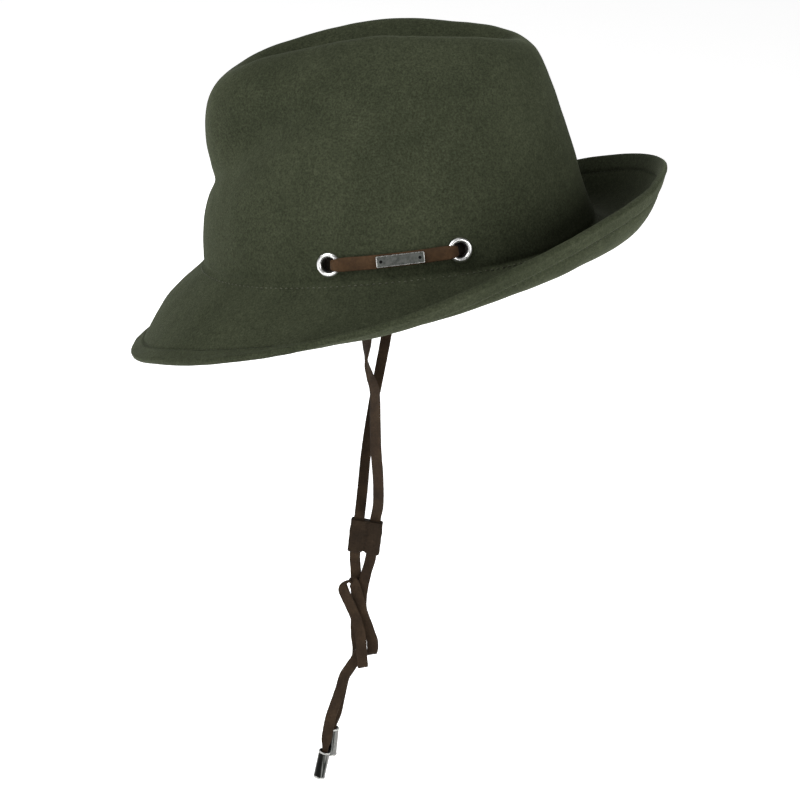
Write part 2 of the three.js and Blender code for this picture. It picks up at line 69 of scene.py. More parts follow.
# Sections of the outer side of the felt, from the rim of the brim to the middle of the crease:
# half width, reach forwards, reach backwards, then the height at the front, halfway to the
# side, at the side, halfway to the back and at the back
SECTIONS = np.array([
    (128, 147, 138.5, -43, -31.2, -11.5, 16, 27),
    (121, 140, 132, -38, -27.3, -15.2, 1, 12),
    (106, 125.5, 119.5, -18.5, -16.2, -10.5, -3.3, 0),
    (88, 105, 103.8, -2.5, -2.5, -0.5, -0.8, 3),
    (85.7, 103.2, 101.5, 3.5, 3.3, 4.5, 4.4, 7.6),
    (83.2, 100.3, 97, 23, 22.2, 22, 22.8, 25),
    (79, 94.3, 93.9, 42, 42.4, 43, 43.1, 43),
    (72, 94.7, 89.3, 62, 63.4, 65, 64.1, 63),
    (59, 91.5, 84.2, 82, 85.5, 89, 85.5, 82),
    (43, 83, 79, 93.6, 99.6, 104.8, 99.3, 94),
    (30, 70.6, 69.5, 98, 105.3, 111.3, 105.2, 99.5),
    (19, 56, 54, 94, 99, 104, 99, 94.5),
    (9, 30, 30, 89, 90.5, 92, 90, 88),
    (0, 0, 0, 87, 87, 87, 87, 87),
], dtype=float)
FOOT = 3
CENTRE = len(SECTIONS) - 1
# Past the centre the crease rises again on its other side, which keeps its floor round
ACROSS_CENTRE = SECTIONS[-2] * (-1, -1, -1, 1, 1, 1, 1, 1)
# The ridges stay wide apart towards the front: section numbers, and the power put on their plan
FULL_FRONT = ((8, 9, 11, 12), (1.0, 0.85, 0.85, 1.0))

FELT_WALL = 2.5
# Dents pressed in on both sides at the front: turn and its spread, height there, rise of the
# dent for each radian of turn, spread in height, depth
DENTS = [
    (44, 25, 68, 27, 14, 11),
    (14, 20, 45, 26, 4.5, 2.0),
]

WELT_WIDTH = 8.0
WELT_EXTRA = 0.6
WELT_NOSE = 1.3
WELT_GROOVE = 0.45
# How far before the groove the welt's swell ends, the run over which it rises, and the groove's
# spread. WELT_TURNS are the angles of the rings round the edge of the rim.
WELT_EDGE, WELT_RUN, WELT_GROOVE_WIDE = 0.4, 1.2, 0.8
WELT_TURNS = (60, 30, 0, -30, -60)
# Section numbers among which a distance from the rim is looked up
RIM_SEARCH = np.linspace(0, 2.2, 221)

# Rows of the felt's mesh: distances from the rim over the welt, rows that join them to the rest,
# and section numbers from there to the crown's middle, each as start, stop and step
FELT_COLUMNS = 250
WELT_ROWS = np.array([0, 1, 2, 3.2, 4.6, 6, 6.8, 7.3, 7.7, 8, 8.4, 8.9, 9.6])
JOIN_ROWS = 5
STEADY_ROWS = [(1.5, 2.7, 0.075), (2.7, 4.0, 0.05), (4.0, 12.9, 0.085)]
# Soft unevenness of the felt: depth, spacing of its bumps and seed
FELT_SOFTNESS = [(0.8, 34, 1), (0.3, 12, 2)]

# Rows of stitches: spacing, length, radius of the thread and lift over what it is sewn into
FOOT_STITCH = (3.1, 1.6, 0.3, 0.14)
WELT_STITCH = (3.2, 2.2, 0.24, 0.1)
BAND_STITCH = (3.3, 2.3, 0.25, 0.1)
# Points round the hat with which the length of a row of stitches is measured
FINE_TURNS = 720

BAND_GAP, BAND_WALL, BAND_LOW, BAND_HIGH = 2.0, 1.3, 5.0, 33.0
BAND_CORNER, BAND_SEAM_UP, BAND_COLUMNS = 0.4, 2, 240

# Eyelets on the wearer's left: degrees from the front, and height
EYELET_FRONT = (76, 9.5)
EYELET_REAR = (113.5, 10.8)
EYELET_HOLE_R, EYELET_HOLE_REACH = 4.6, 8
# Back flange and tube of an eyelet as radius and height over the felt, then its bead in front
EYELET_TUBE = [(3.75, -3.7), (5.5, -3.7), (5.5, -3.05), (4.3, -3.05), (4.3, 0.2)]
EYELET_BEAD_AT, EYELET_BEAD_HIGH, EYELET_BEAD_R = 4.95, 0.25, 1.2
# Radius given to the points of a turned outline that lie on its axis
ON_AXIS = 0.001

LACE_WALL = 1.3
# Rounding of a lace's edges, and how much and how often its width wavers
LACE_CORNER, LACE_WAVER, LACE_WAVER_RATE = 0.42, 0.035, 0.35
SIDE_WIDE = 6.8
# Front half of the side lace: distance from the eyelet, height over the felt, width
SIDE_LACE = [
    (0.9, -3.9, 4.4),
    (1.2, -1.6, 4.4),
    (1.7, 1.0, 4.4),
    (3.6, 3.0, 6.0),
    (6.8, 2.9, SIDE_WIDE),
    (11, 1.7, SIDE_WIDE),
    (22, 1.9, SIDE_WIDE),
]
SIDE_MIDDLE_ABOVE = 1.3

PLATE_ALONG, PLATE_ABOVE = 35.2, 2.6
PLATE_LENGTH, PLATE_HEIGHT, PLATE_WALL = 23.8, 5.6, 1.0
# The plate's bare field, and its border as inset, height over the plate's back and corner radius
PLATE_FIELD, PLATE_FIELD_INSET, PLATE_CORNER = 0.7, 0.03, 0.5
PLATE_BORDER = [
    (0.0, 0.6, 0.5), (0.0, 0.82, 0.5), (0.08, 0.96, 0.45), (0.2, PLATE_WALL, 0.4),
    (0.32, 0.96, 0.35), (0.4, 0.82, 0.3), (0.4, 0.6, 0.3),
]
PIN_FROM_END = 2.3
PIN_OUTLINE = [
    (ON_AXIS, -0.2), (0.8, -0.2), (0.8, 0.02), (0.68, 0.1), (0.4, 0.02), (ON_AXIS, 0.0),
]

CHIN_WIDE = 5.8
# Route of each chin strand, from under the hat to its tip: x, y, z, then the turn of its width
# from +Y towards +X and the rise of its width, in degrees. These are the points of the solids.
CHIN_LEFT = [
    (82.2, -7.1, 2, 0, 0), (81.9, -6.6, -0.6, 0, 0), (80.8, -6.2, -5, 0, 0), (77.2, -6, -12, 4, 0),
    (70, -5.6, -24, 12, 0), (61.5, -5.4, -38, 34, 0), (54.6, -5.2, -51, 86, 0),
    (50, -2.8, -60, 108, 0), (45.2, 0.2, -69.5, 130, 0), (35.6, 1.5, -88, 152, 0),
    (25.8, 2.8, -107, 172, 0), (15.6, 5, -127, 180, 0), (6.6, 6, -144.5, 180, 0),
    (1.2, 5.2, -154, 180, 0), (0.1, 5, -157.5, 180, 0), (0, 5, -162, 180, 0), (0, 5, -178, 180, 0),
    (0.4, 3.6, -188, 180, 0), (0.5, 2.8, -197, 180, 0), (0.4, 2.9, -206, 180, 0),
    (0.2, 4.6, -213, 180, 0), (-0.6, 7.6, -219.5, 180, 0), (-3, 10, -225.3, 180, 0),
    (-4.8, 11.4, -229.6, 180, 0), (-3.8, 12, -233.8, 180, -12), (-1.6, 12, -235.4, 180, -22),
    (0.6, 12, -234.2, 180, -12), (1.6, 11.9, -230.4, 180, 0), (1.9, 10.8, -224.8, 180, 0),
    (2.2, 8.5, -219, 180, 0), (2.4, 5, -211.8, 180, 0), (2.6, 2, -204.6, 180, 0),
    (2.7, -0.3, -198.4, 178, 0), (3.2, -2.2, -194, 162, 0), (4.1, -4.6, -192.8, 130, 6),
    (4.9, -6.9, -194, 115, 6), (5.5, -7.4, -197, 150, 0), (5.6, -5.6, -200.9, 178, 0),
    (5.6, -2.1, -206.8, 180, 0), (5.6, 2, -214.4, 180, 0), (5.6, 4.9, -222.6, 180, 0),
    (5.6, 6.5, -230.5, 180, 0), (5.6, 7.7, -237.6, 180, -8), (5.4, 8.2, -240.7, 180, -20),
    (4.6, 8.3, -241.5, 180, -20), (3.8, 8.1, -240.7, 180, -20), (3.6, 7.4, -237.6, 180, -8),
    (3.5, 6.4, -234.2, 180, 0), (2.75, 6, -233.3, 180, 0), (2, 5.6, -234.2, 180, 0),
    (1.9, 4, -238.6, 180, 0), (1.9, 1.2, -244.1, 180, 0), (1.8, -1.5, -250.4, 180, 0),
    (1.9, -2.9, -259, 180, 0), (2, -4.6, -267.5, 180, 0), (2, -6.4, -277, 180, 0),
    (2, -7.1, -289, 180, 0),
]
CHIN_RIGHT = [
    (-82.2, -7.1, 2, 0, 0), (-81.9, -6.6, -0.6, 0, 0), (-80.8, -6.2, -5, 0, 0),
    (-77.2, -6, -12, 0, 0), (-70, -5.8, -24, 0, 0), (-59, -5.4, -43, 5, 0), (-47, -5.1, -66, 10, 0),
    (-36.7, -5.7, -86, 20, 0), (-27, -6.3, -105, 30, 0), (-17.6, -6, -123.5, 25, 0),
    (-7.6, -4.6, -142.5, 10, 0), (-1.2, -3.9, -154, 0, 0), (-0.1, -3.8, -157.5, 0, 0),
    (0, -3.8, -162, 0, 0), (0, -3.8, -178, 0, 0), (-0.9, -2.4, -188, 0, 0), (-1.5, -1, -200, 0, 0),
    (-1.6, 0.4, -213, 0, 0), (-1.6, 1.8, -225, 0, 0), (-1.6, 3.7, -234, 0, 0),
    (-1.6, 3.6, -239.8, 0, 0), (-1.7, 1.2, -245.6, 0, 0), (-2, -1.5, -251.8, 0, 0),
    (-2.4, -2.4, -258.5, 0, 0), (-2.9, -3, -266, 0, 0), (-3.9, -4, -276, 0, 0),
]
# Hidden stretch behind the band, left half: degrees from the front and height over the foot
CHIN_HIDDEN = [
    (86.2, 5.4), (86.2, 9), (87.2, 13.5), (90, 18), (95, 20.5), (102, 21), (118, 21),
    (134, 20), (150, 19), (165, 19), (180, 19),
]

TIP_LENGTH, TIP_R, TIP_RIM_R, TIP_RIM_HIGH, TIP_BORE_R, TIP_BORE_DEEP = 16.8, 3.2, 3.35, 1.1, 2.4, 7
# Top of each tip: x, y, z, then how far its foot leans towards +Y, in radians
TIP_LEFT = (2, -7.3, -297, -0.09)
TIP_RIGHT = (-4.3, -4.7, -285, 0.02)
TIP_SOFT, TIP_DISH_R, TIP_DISH_DEEP = 0.35, 1.2, 0.15
TIP_RIM_SOFT, TIP_RIM_INSET, TIP_RIM_SUNK = 0.3, 0.05, 0.2
# Painted reflection on a tip: the most that is added to its streaky noise, at its back, on a slope from
# none at its front, which paints its front darker and its back lighter, and the colour for each sum
REFLECTION_SLOPE = 0.6
REFLECTION_STOPS = [
    (0.7, (0.010, 0.010, 0.009)),
    (0.86, (0.035, 0.038, 0.034)),
    (0.98, (0.22, 0.22, 0.21)),
]
# End of a strand, rolled narrow and tucked into its tip
TIP_TUCK, TUCKED_WIDE, TUCKED_THICK = 5.5, 3.4, 1.9

SLIDER_Y, SLIDER_Z = 0.6, -166.9
SLIDER_WIDE, SLIDER_THICK, SLIDER_HIGH, SLIDER_CORNER = 17.4, 4.9, 19.0, 1.2
# Rounding of the slider's ends and the height it takes, the levels at an end, and the number of
# levels between the ends
SLIDER_SOFT, SLIDER_SOFT_REACH, SLIDER_ENDS, SLIDER_ROWS = 0.45, 0.6, [0, 0.25, 0.6], 60
SLIDER_LINE_DEEP, SLIDER_LINE_WIDE = 0.25, 0.8
SLIDER_DIMPLE_DEEP, SLIDER_DIMPLE_STEP = 0.45, 2.4
SLIDER_ARCH_HIGH, SLIDER_ARCH_WIDE, SLIDER_WAVER = 1.3, 1.5, 0.35
SLOT_OFFSET, SLOT_WIDE, SLOT_THICK, SLOT_PAST_ENDS = 4.4, 6.4, 1.95, 2

# Corners of a rounded rectangle: the ways along x and y, and where its quarter turn starts
CORNERS = [(1, 1, 0), (-1, 1, 90), (-1, -1, 180), (1, -1, 270)]


# Curves and surfaces


def blend(a, b, c, d, t):
    """Smooth curve between b and c, which a and d lie beyond. t runs from 0 to 1."""
    bend = 2 * a - 5 * b + 4 * c - d
    twist = 3 * b - a - 3 * c + d
    return b + 0.5 * ((c - a) * t + bend * t**2 + twist * t**3)


def column(table, at):
    """Smooth curve through the rows of a table, one result row for each place in at."""
    table = np.asarray(table, float)
    at = np.atleast_1d(np.asarray(at, float))
    last = len(table) - 1
    i = np.clip(np.floor(at).astype(int), 0, last - 1)
    b, c = table[i], table[i + 1]
    a = np.where((i > 0)[:, None], table[np.maximum(i - 1, 0)], 2 * b - c)
    d = np.where((i + 2 <= last)[:, None], table[np.minimum(i + 2, last)], 2 * c - b)
    return blend(a, b, c, d, (at - i)[:, None])


def unit(v):
    return v / np.maximum(np.linalg.norm(v, axis=-1, keepdims=True), 1e-12)


def full_turn(count):
    """Angles of evenly spaced points round a full turn."""
    return np.arange(count) * 2 * math.pi / count


def round_height(heights, from_front):
    """Smooth curve through heights given at even steps from the front round to the back."""
    last = heights.shape[1] - 1
    place = last * from_front / math.pi
    i = np.minimum(place.astype(int), last - 1)
    rows = np.arange(len(heights))
    a, b = heights[rows, np.abs(i - 1)], heights[rows, i]
    c, d = heights[rows, i + 1], heights[rows, np.where(i + 2 > last, last - 1, i + 2)]
    return blend(a, b, c, d, place - i)


def felt_point(at, turn):
    """Points on the outer side of the felt. turn is from the front towards the left."""
    at, turn = np.broadcast_arrays(np.asarray(at, float), np.asarray(turn, float))
    values = column(np.vstack([SECTIONS, ACROSS_CENTRE]), at.ravel())
    half, front, back = values[:, :3].T
    c, s = np.cos(turn.ravel()), np.sin(turn.ravel())
    fuller = np.where(c > 0, np.interp(at.ravel(), *FULL_FRONT), 1.0)
    x = half * np.sign(s) * np.abs(s) ** fuller
    y = -np.where(c > 0, front, back) * c
    z = round_height(values[:, 3:], np.abs(np.arctan2(s, c)))
    from_front = np.degrees(np.abs(np.arctan2(s, c)))
    depth = 0.0
    for middle, reach, middle_z, rise, reach_z, deep in DENTS:
        aside = (from_front - middle) / reach
        level = middle_z + rise * np.radians(from_front - middle)
        depth = depth + deep * np.exp(-(aside**2) - ((z - level) / reach_z) ** 2)
    flat = np.maximum(np.hypot(x, y), 1.0)
    points = np.stack([x * (1 - depth / flat), y * (1 - depth / flat), z], -1)
    return points.reshape(at.shape + (3,))


def felt_frame(at, turn):
    """Point, direction out of the felt, and direction up the crown."""
    step = 0.01
    low, high = np.maximum(at - step, 0), np.minimum(at + step, CENTRE)
    up = unit(felt_point(high, turn) - felt_point(low, turn))
    around = unit(felt_point(at, turn + step) - felt_point(at, turn - step))
    return felt_point(at, turn), unit(np.cross(around, up)), up


def on_wall(turn, z):
    """Frame of the crown wall at a height, found by halving four sections from the foot up."""
    turn, z = np.broadcast_arrays(np.asarray(turn, float), np.asarray(z, float))
    low = np.full(turn.shape, float(FOOT))
    high = low + 4
    for _ in range(30):
        mid = 0.5 * (low + high)
        under = felt_point(mid, turn)[..., 2] < z
        low, high = np.where(under, mid, low), np.where(under, high, mid)
    return felt_frame(low, turn)


def foot_height(turn):
    return felt_point(np.full(np.shape(turn), float(FOOT)), turn)[..., 2]


def tilted(points):
    """Points of the hat as it sits tipped forward on the head."""
    c, s = math.cos(FORWARD_TILT), math.sin(FORWARD_TILT)
    x, y, z = np.moveaxis(np.asarray(points, float), -1, 0)
    return np.stack([x, y * c - z * s, y * s + z * c], -1)


# Mesh making


def make_piece(name, points, faces, material, smooth=True):
    mesh = bpy.data.meshes.new(name)
    mesh.from_pydata([tuple(p) for p in np.asarray(points) * MM], [], [tuple(f) for f in faces])
    mesh.validate()
    if smooth:
        mesh.polygons.foreach_set("use_smooth", [True] * len(mesh.polygons))
    mesh.materials.append(material)
    piece = bpy.data.objects.new(name, mesh)
    bpy.context.scene.collection.objects.link(piece)
    return piece


def grid(rings, ends="cap"):
    """Points and faces of a skin over rings of points. ends is cap, open or loop."""
    rings = np.asarray(rings)
    rows, across = rings.shape[:2]
    points = rings.reshape(-1, 3)
    i = np.arange(rows if ends == "loop" else rows - 1)
    j = np.arange(across)
    here = (i[:, None] * across + j[None]).ravel()
    side = (i[:, None] * across + (j[None] + 1) % across).ravel()
    up = ((i[:, None] + 1) % rows * across + j[None]).ravel()
    up_side = ((i[:, None] + 1) % rows * across + (j[None] + 1) % across).ravel()
    faces = [tuple(f) for f in np.stack([here, side, up_side, up], -1)]
    if ends == "cap":
        faces.append(tuple(range(across))[::-1])
        faces.append(tuple(range((rows - 1) * across, rows * across)))
    return points, faces


def outward(points, faces):
    """The faces turned so that they look out of the body."""
    volume = 0.0
    for face in faces:
        a = points[face[0]]
        for k in range(1, len(face) - 1):
            volume += np.dot(a, np.cross(points[face[k]], points[face[k + 1]]))
    return faces if volume > 0 else [tuple(reversed(face)) for face in faces]


def smooth_noise(points, size, seed):
    """Soft random value from -1 to 1 at each point; size is the spacing of its bumps."""
    shift = Vector((seed * 17.3, seed * 5.1, seed * 9.7))
    flat = np.asarray(points).reshape(-1, 3) / size
    values = [noise.noise(Vector(p) + shift) for p in flat]
    return np.array(values).reshape(np.asarray(points).shape[:-1])


# Felt


def rim_sections(turn, distances):
    """Section numbers that lie at given distances in from the rim, for every turn."""
    line = felt_point(RIM_SEARCH[:, None], turn[None])
    gone = np.vstack([
        np.zeros(len(turn)),
        np.cumsum(np.linalg.norm(np.diff(line, axis=0), axis=-1), axis=0),
    ])
    return np.array([np.interp(distances, gone[:, k], RIM_SEARCH) for k in range(len(turn))]).T


def welt_profile(distance):
    """How far the welt stands proud of the felt at a distance from the rim."""
    swell = WELT_EXTRA * np.clip((WELT_WIDTH - WELT_EDGE - distance) / WELT_RUN, 0, 1) ** 0.5
    groove = WELT_GROOVE * np.exp(-(((distance - WELT_WIDTH) / WELT_GROOVE_WIDE) ** 2))
    return swell - groove


def felt_rows(turn):
    """Section numbers of the felt's rows for every turn, and how far each row swells."""
    at = rim_sections(turn, WELT_ROWS)
    part = np.arange(1, JOIN_ROWS + 1)[:, None] / (JOIN_ROWS + 1)
    join = at[-1] + (STEADY_ROWS[0][0] - at[-1]) * part
    steady = np.concatenate([np.arange(*rows) for rows in STEADY_ROWS])
    steady = np.broadcast_to(steady[:, None], (len(steady), len(turn)))
    at = np.vstack([at, join, steady])
    swell = np.zeros(len(at))
    swell[:len(WELT_ROWS)] = welt_profile(WELT_ROWS)
    return at, swell


def turned_rim(point, out, up, swell):
    """Rings that turn the felt round at its rim, from the outer side to the inner."""
    middle = point - out * 0.5 * FELT_WALL
    thick = 0.5 * FELT_WALL + swell
    return [
        middle + out * thick * math.sin(angle) - up * WELT_NOSE * math.cos(angle)
        for angle in np.radians(WELT_TURNS)
    ]


def close_ends(rings, points, faces):
    """Closes the first and the last ring with a fan of triangles round their middles."""
    across = rings.shape[1]
    start, last = len(points), (len(rings) - 1) * across
    for j in range(across):
        k = (j + 1) % across
        faces.append((start, k, j))
        faces.append((start + 1, last + j, last + k))
    return np.vstack([points, rings[0].mean(axis=0), rings[-1].mean(axis=0)]), faces


def felt_hat(material):
    """Crown and brim as one closed shell of felt, with its welt and the two eyelet holes."""
    turn = full_turn(FELT_COLUMNS)
    at, swell = felt_rows(turn)
    point, out, up = felt_frame(at, np.broadcast_to(turn, at.shape))
    soft = sum(deep * smooth_noise(point, size, seed) for deep, size, seed in FELT_SOFTNESS)
    point = point + out * soft[..., None]
    outer = point + out * swell[:, None, None]
    inner = point - out * (FELT_WALL + swell[:, None, None])
    turned = turned_rim(point[0], out[0], up[0], swell[0])
    rings = np.concatenate([outer[::-1], np.array(turned), inner])
    points, faces = close_ends(rings, *grid(rings, ends="open"))
    piece = make_piece("felt_hat", tilted(points), outward(points, faces), material)
    for spot in (EYELET_FRONT, EYELET_REAR):
        cut_out(piece, eyelet_bore(spot))
    return piece


def wall_basis(place):
    """Row frame point and the axes along, out and up at an eyelet's or plate's place."""
    point, out, up = (tilted(v) for v in place)
    along = unit(np.cross(out, up))
    return point, along, out, unit(np.cross(along, out))


def eyelet_place(spot):
    return on_wall(np.array(math.radians(spot[0])), np.array(float(spot[1])))


def eyelet_span():
    """Distance between the middles of the two eyelets."""
    front, rear = (eyelet_place(spot)[0] for spot in (EYELET_FRONT, EYELET_REAR))
    return float(np.linalg.norm(front - rear))


def eyelet_bore(spot):
    """Two rings, inside and outside the felt, between which an eyelet's hole runs."""
    point, along, out, up = wall_basis(eyelet_place(spot))
    turn = full_turn(32)
    way = np.outer(np.cos(turn), along) + np.outer(np.sin(turn), up)
    return [point + out * height + EYELET_HOLE_R * way
            for height in (-EYELET_HOLE_REACH, EYELET_HOLE_REACH)]


def cut_out(piece, rings):
    """Cuts the body over the rings out of a piece."""
    points, faces = grid(np.array(rings, float))
    drill = make_piece("drill", points, outward(points, faces), piece.data.materials[0])
    cut = piece.modifiers.new("cut", "BOOLEAN")
    cut.object = drill
    cut.operation = "DIFFERENCE"
    cut.solver = "EXACT"
    apply_modifiers(piece)
    bpy.data.objects.remove(drill)


def apply_modifiers(piece):
    graph = bpy.context.evaluated_depsgraph_get()
    mesh = bpy.data.meshes.new_from_object(piece.evaluated_get(graph))
    piece.modifiers.clear()
    piece.data = mesh


# Stitches, made as one piece for each row


def stitches(name, places, along, out, stitch, material):
    """Small rounded threads, one at each place, lying along the row and proud of it."""
    length, r, lift = stitch[1:]
    stations = [(-1.0, 0.0), (-0.8, 0.62), (-0.3, 1.0), (0.3, 1.0), (0.8, 0.62), (1.0, 0.0)]
    across = 6
    side = unit(np.cross(along, out))
    points, faces = [], []
    for place, a, o, s in zip(places, along, out, side):
        rings = []
        for where, girth in stations:
            centre = place + a * where * 0.5 * length + o * (lift - r * 1.3 * abs(where) ** 3)
            ring = []
            for k in range(across):
                angle = 2 * math.pi * k / across
                ring.append(centre + r * max(girth, 0.05) * (o * math.cos(angle) + s * math.sin(angle)))
            rings.append(ring)
        some, more = grid(rings)
        more = outward(some, more)
        faces.extend(tuple(v + len(points) * len(some) for v in face) for face in more)
        points.append(some)
    return make_piece(name, np.concatenate(points), faces, material)


def row_places(line, stitch):
    """Evenly spaced places along a closed line of points, as numbers into its segments."""
    loop = np.vstack([line, line[:1]])
    gone = np.concatenate([[0], np.cumsum(np.linalg.norm(np.diff(loop, axis=0), axis=-1))])
    count = int(round(gone[-1] / stitch[0]))
    return np.interp(np.arange(count) * gone[-1] / count, gone, np.arange(len(loop)))


def foot_stitches(material):
    fine = full_turn(FINE_TURNS)
    at = np.full(fine.shape, FOOT)
    spots = row_places(felt_point(at, fine), FOOT_STITCH) * 2 * math.pi / FINE_TURNS
    point, out, up = felt_frame(np.full(spots.shape, FOOT), spots)
    along = unit(np.cross(up, out))
    return stitches("foot_stitches", tilted(point), tilted(along), tilted(out), FOOT_STITCH, material)


def welt_stitches(name, side, material):
    fine = full_turn(FINE_TURNS)
    at = rim_sections(fine, [WELT_WIDTH])[0]
    line = felt_point(at, fine)
    spots = row_places(line, WELT_STITCH)
    turn = spots * 2 * math.pi / FINE_TURNS
    place = np.interp(spots, np.arange(FINE_TURNS + 1), np.append(at, at[0]))
    point, out, up = felt_frame(place, turn)
    along = unit(np.cross(up, out))
    facing = out if side > 0 else -out
    surface = point + out * (-WELT_GROOVE if side > 0 else WELT_GROOVE - FELT_WALL)
    return stitches(name, tilted(surface), tilted(along), tilted(facing), WELT_STITCH, material)


# Laces


def rounded_rectangle(half_x, half_y, r):
    """Points of a rectangle with round corners, four for each corner."""
    outline = []
    for x_way, y_way, start in CORNERS:
        for step in (0, 30, 60, 90):
            angle = math.radians(start + step)
            x = x_way * (half_x - r) + r * math.cos(angle)
            y = y_way * (half_y - r) + r * math.sin(angle)
            outline.append((x, y))
    return outline


def lace(name, centre, across, out, wide, thick, material, seed):
    """Flat lace with softly rounded edges that waver a little, as cut suede does."""
    rings = []
    for i in range(len(centre)):
        wander = noise.noise(Vector(centre[i]) * LACE_WAVER_RATE + Vector((seed, 0, 0)))
        half_wide, half_thick = 0.5 * wide[i] * (1 + LACE_WAVER * wander), 0.5 * thick[i]
        outline = rounded_rectangle(half_wide, half_thick, min(LACE_CORNER, half_thick * 0.8))
        rings.append([centre[i] + across[i] * x + out[i] * y for x, y in outline])
    points, faces = grid(rings)
    return make_piece(name, points, outward(points, faces), material)


def run_of(path):
    return unit(np.gradient(path, axis=0))


def chin_route(route, tip):
    """Rows of a chin strand with width and thickness, down into its metal tip."""
    rows = [row + (CHIN_WIDE, LACE_WALL) for row in route]
    x, y, z, lean = tip
    lay = route[-1][3]
    for down in (-1, TIP_TUCK):
        rows.append((x, y + lean * down, z - down, lay, 0, TUCKED_WIDE, TUCKED_THICK))
    return rows


def chin_strand(name, route, tip, material, seed):
    rows = chin_route(route, tip)
    at = np.linspace(0, len(rows) - 1, (len(rows) - 1) * 8 + 1)
    values = column(rows, at)
    path = values[:, :3]
    run = run_of(path)
    lay, tilt = np.radians(values[:, 3]), np.radians(values[:, 4])
    across = np.stack([np.sin(lay), np.cos(lay), np.tan(tilt)], -1)
    across = unit(across - run * np.sum(across * run, axis=-1, keepdims=True))
    out = np.cross(run, across)
    piece = lace(name, path, across, out, values[:, 5], values[:, 6], material, seed)
    return piece, path


def side_lace(material):
    span = eyelet_span()
    back = [(span - along, above, wide) for along, above, wide in reversed(SIDE_LACE)]
    rows = SIDE_LACE + [(0.5 * span, SIDE_MIDDLE_ABOVE, SIDE_WIDE)] + back
    values = column(rows, np.linspace(0, len(rows) - 1, (len(rows) - 1) * 10 + 1))
    point, out, up = along_side(values[:, 0], values[:, 1], span)
    path, up = tilted(point), tilted(up)
    face = unit(np.cross(run_of(path), up))
    thick = np.full(len(path), LACE_WALL)
    return lace("side_strap", path, up, face, values[:, 2], thick, material, 5)


def along_side(along, above, span):
    """Places on the way between the eyelets, with the directions out and up there."""
    part = along / span
    turn = np.radians(EYELET_FRONT[0] + part * (EYELET_REAR[0] - EYELET_FRONT[0]))
    z = EYELET_FRONT[1] + part * (EYELET_REAR[1] - EYELET_FRONT[1])
    point, out, up = on_wall(turn, z)
    return point + out * np.asarray(above)[..., None], out, up


def chin_hidden(material):
    rows = CHIN_HIDDEN + [(360 - turn, lift) for turn, lift in reversed(CHIN_HIDDEN[:-1])]
    values = column(rows, np.linspace(0, len(rows) - 1, (len(rows) - 1) * 8 + 1))
    turn = np.radians(values[:, 0])
    point, out, up = on_wall(turn, foot_height(turn) + values[:, 1])
    path = point - out * (FELT_WALL + 0.5 * BAND_GAP)
    across = unit(np.cross(out, run_of(path)))
    wide, thick = np.full(len(path), CHIN_WIDE), np.full(len(path), LACE_WALL)
    return lace("chin_lace_hidden", tilted(path), tilted(across), tilted(out), wide, thick, material, 9)


# Sweatband


def sweatband(material):
    """Leather band inside the crown foot, with softened edges."""
    turn = full_turn(BAND_COLUMNS)
    rings = []
    corner = BAND_CORNER
    middle = np.linspace(BAND_LOW, BAND_HIGH, 5)[1:-1]
    lifts = [BAND_LOW + corner, *middle, BAND_HIGH - corner]
    outside, inside = FELT_WALL + BAND_GAP, FELT_WALL + BAND_GAP + BAND_WALL
    steps = [(BAND_LOW, outside + corner)] + [(lift, outside) for lift in lifts]
    steps += [(BAND_HIGH, outside + corner), (BAND_HIGH, inside - corner)]
    steps += [(lift, inside) for lift in reversed(lifts)] + [(BAND_LOW, inside - corner)]
    for lift, depth in steps:
        point, out, up = on_wall(turn, foot_height(turn) + lift)
        rings.append(tilted(point - out * depth))
    points, faces = grid(rings, ends="loop")
    return make_piece("sweatband_leather", points, outward(points, faces), material)


def band_stitches(material):
    fine = full_turn(FINE_TURNS)
    point, out, up = on_wall(fine, foot_height(fine) + BAND_LOW + BAND_SEAM_UP)
    turn = row_places(point, BAND_STITCH) * 2 * math.pi / FINE_TURNS
    point, out, up = on_wall(turn, foot_height(turn) + BAND_LOW + BAND_SEAM_UP)
    surface = point - out * (FELT_WALL + BAND_GAP + BAND_WALL)
    along = unit(np.cross(up, out))
    return stitches("band_stitches", tilted(surface), tilted(along), tilted(-out), BAND_STITCH, material)


# Metal


def turned_piece(name, profile, place, material, turns=64):
    """A ring turned from a closed outline of (radius, height) about the out axis of a place."""
    point, along, out, up = place
    rings = []
    for r, h in profile:
        angle = full_turn(turns)
        rings.append(point + out * h + r * (np.outer(np.cos(angle), along) + np.outer(np.sin(angle), up)))
    ends = "loop" if min(r for r, h in profile) > ON_AXIS else "cap"
    points, faces = grid(rings, ends)
    return make_piece(name, points, outward(points, faces), material)


def arc(centre_r, centre_h, r, start, stop, steps=6):
    """Points of a rounded corner in a turned outline, angles in degrees from the radius axis."""
    angles = np.radians(np.linspace(start, stop, steps))
    return [(centre_r + r * math.cos(a), centre_h + r * math.sin(a)) for a in angles]


def eyelet_ring(name, spot, material):
    profile = EYELET_TUBE + arc(EYELET_BEAD_AT, EYELET_BEAD_HIGH, EYELET_BEAD_R, 0, 180, 17)
    return turned_piece(name, profile, wall_basis(eyelet_place(spot)), material)


def tip_place(tip):
    """Top of a metal tip with its side, down and third axis."""
    x, y, z, lean = tip
    down = unit(np.array([0, math.sin(lean), -math.cos(lean)]))
    side = np.array([1.0, 0, 0])
    return np.array([x, y, z], float), side, down, np.cross(side, down)


